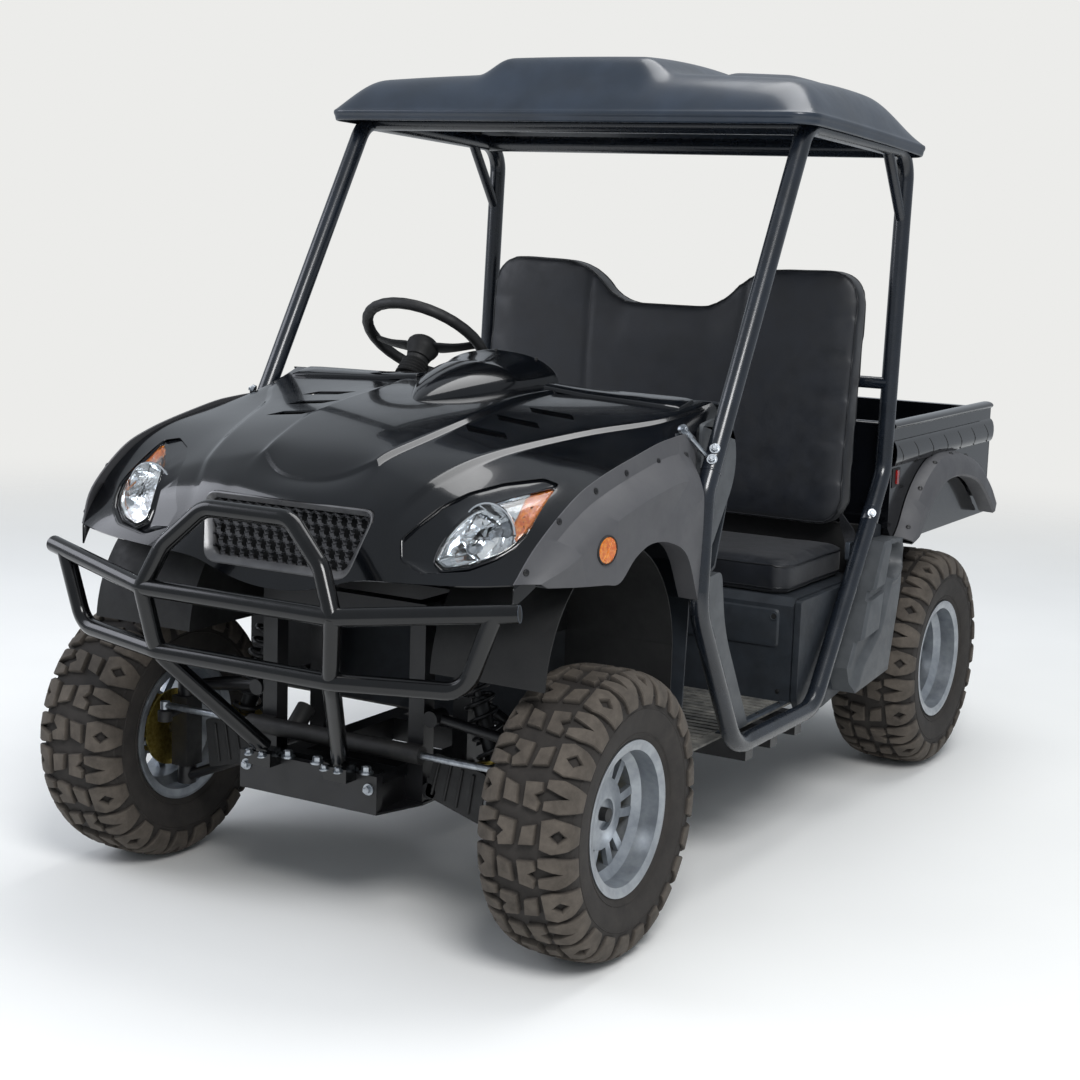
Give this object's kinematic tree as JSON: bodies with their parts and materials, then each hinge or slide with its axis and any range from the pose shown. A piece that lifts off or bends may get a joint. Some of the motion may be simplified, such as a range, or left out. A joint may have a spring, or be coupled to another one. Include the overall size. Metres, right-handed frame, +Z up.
{
  "type": "side by side utility vehicle",
  "caption": "Open two-seat side by side utility vehicle with roll cage, hard roof, tube bumper, bench seat, steered front wheels and a tipping cargo bed with a drop tailgate.",
  "frame": {"origin": "middle of the footprint, on the ground", "axes": "+Z up, -Y to the front, +X to the vehicle's left"},
  "size_m": [1.436, 2.8845, 1.945],
  "materials": {
    "gloss_black": "glossy",
    "bumper_paint": "satin",
    "frame_paint": "satin",
    "cage_paint": "satin",
    "roof_plastic": "satin",
    "grille_black": "satin",
    "lamp_lens": "clear",
    "red_lens": "clear red",
    "grey_plastic": "fine grain",
    "slate_plastic": "fine grain",
    "matte_black": "matte",
    "battery_case": "matte",
    "seat_vinyl": "soft grain",
    "shock_paint": "satin",
    "axle_iron": "painted",
    "zinc_steel": "zinc plated",
    "yellow_zinc": "yellow zinc",
    "wheel_rubber": "soft grip",
    "alloy": "satin paint",
    "tyre_rubber": "dusty"
  },
  "bodies": {
    "root": {"chassis_frame": "frame_paint", "skid_plate": "frame_paint", "front_bumper": "bumper_paint", "hood": "gloss_black", "grille": "grille_black", "headlights": "lamp_lens", "front_flares": "grey_plastic", "wheel_liners": "matte_black", "dash_panel": "slate_plastic", "floor_pan": "slate_plastic", "seat_base": "slate_plastic", "battery_pack": "battery_case", "seat_cushion": "seat_vinyl", "seat_back": "seat_vinyl", "roll_cage": "cage_paint", "side_steps": "cage_paint", "roof": "roof_plastic", "side_panels": "grey_plastic", "front_arms": "frame_paint", "front_shocks": "shock_paint", "rear_axle": "axle_iron", "rear_arms": "frame_paint", "rear_shocks": "shock_paint", "steering_gear": "axle_iron", "steering_column": "matte_black"},
    "knuckle_left": {"knuckle_left": "axle_iron"},
    "knuckle_right": {"knuckle_right": "axle_iron"},
    "steering_rack": {"steering_rack": "zinc_steel"},
    "steering_wheel": {"steering_wheel": "wheel_rubber"},
    "cargo_bed": {"cargo_bed": "gloss_black", "rear_flares": "grey_plastic", "tail_lights": "red_lens"},
    "tailgate": {"tailgate": "gloss_black"},
    "wheel_front_left": {"rim_front_left": "alloy", "tyre_front_left": "tyre_rubber", "hub_front_left": "yellow_zinc"},
    "wheel_front_right": {"rim_front_right": "alloy", "tyre_front_right": "tyre_rubber", "hub_front_right": "yellow_zinc"},
    "wheel_rear_left": {"rim_rear_left": "alloy", "tyre_rear_left": "tyre_rubber", "hub_rear_left": "axle_iron"},
    "wheel_rear_right": {"rim_rear_right": "alloy", "tyre_rear_right": "tyre_rubber", "hub_rear_right": "axle_iron"}
  },
  "joints": [
    {"name": "steer_left", "type": "hinge", "parent": "root", "child": "knuckle_left", "pos_m": [0.505, -0.975, 0.312], "axis": [0, 0, 1], "range_deg": [-25, 25]},
    {"name": "steer_right", "type": "hinge", "parent": "root", "child": "knuckle_right", "pos_m": [-0.505, -0.975, 0.312], "axis": [0, 0, 1], "range_deg": [-25, 25]},
    {"name": "rack_slide", "type": "slide", "parent": "root", "child": "steering_rack", "axis": [1, 0, 0], "range_m": [-0.0425, 0.0425]},
    {"name": "steering_wheel_turn", "type": "hinge", "parent": "root", "child": "steering_wheel", "pos_m": [-0.305, -0.285, 1.222], "axis": [0, 0.6157, 0.788], "range_deg": [-250, 250]},
    {"name": "wheel_front_left_spin", "type": "hinge", "parent": "knuckle_left", "child": "wheel_front_left", "pos_m": [0.599, -0.975, 0.312], "axis": [1, 0, 0], "continuous": true},
    {"name": "wheel_front_right_spin", "type": "hinge", "parent": "knuckle_right", "child": "wheel_front_right", "pos_m": [-0.599, -0.975, 0.312], "axis": [1, 0, 0], "continuous": true},
    {"name": "wheel_rear_left_spin", "type": "hinge", "parent": "root", "child": "wheel_rear_left", "pos_m": [0.591, 0.93, 0.312], "axis": [1, 0, 0], "continuous": true},
    {"name": "wheel_rear_right_spin", "type": "hinge", "parent": "root", "child": "wheel_rear_right", "pos_m": [-0.591, 0.93, 0.312], "axis": [1, 0, 0], "continuous": true},
    {"name": "bed_tilt", "type": "hinge", "parent": "root", "child": "cargo_bed", "pos_m": [0, 1.274, 0.657], "axis": [-1, 0, 0], "range_deg": [0, 45]},
    {"name": "tailgate_drop", "type": "hinge", "parent": "cargo_bed", "child": "tailgate", "pos_m": [0, 1.418, 0.72126], "axis": [-1, 0, 0], "range_deg": [0, 90]}
  ],
  "couplings": [
    {"joint": "steer_right", "follows": "steer_left", "ratio": 1},
    {"joint": "rack_slide", "follows": "steer_left", "m_per_rad": 0.0968},
    {"joint": "steering_wheel_turn", "follows": "steer_left", "ratio": 10}
  ]
}
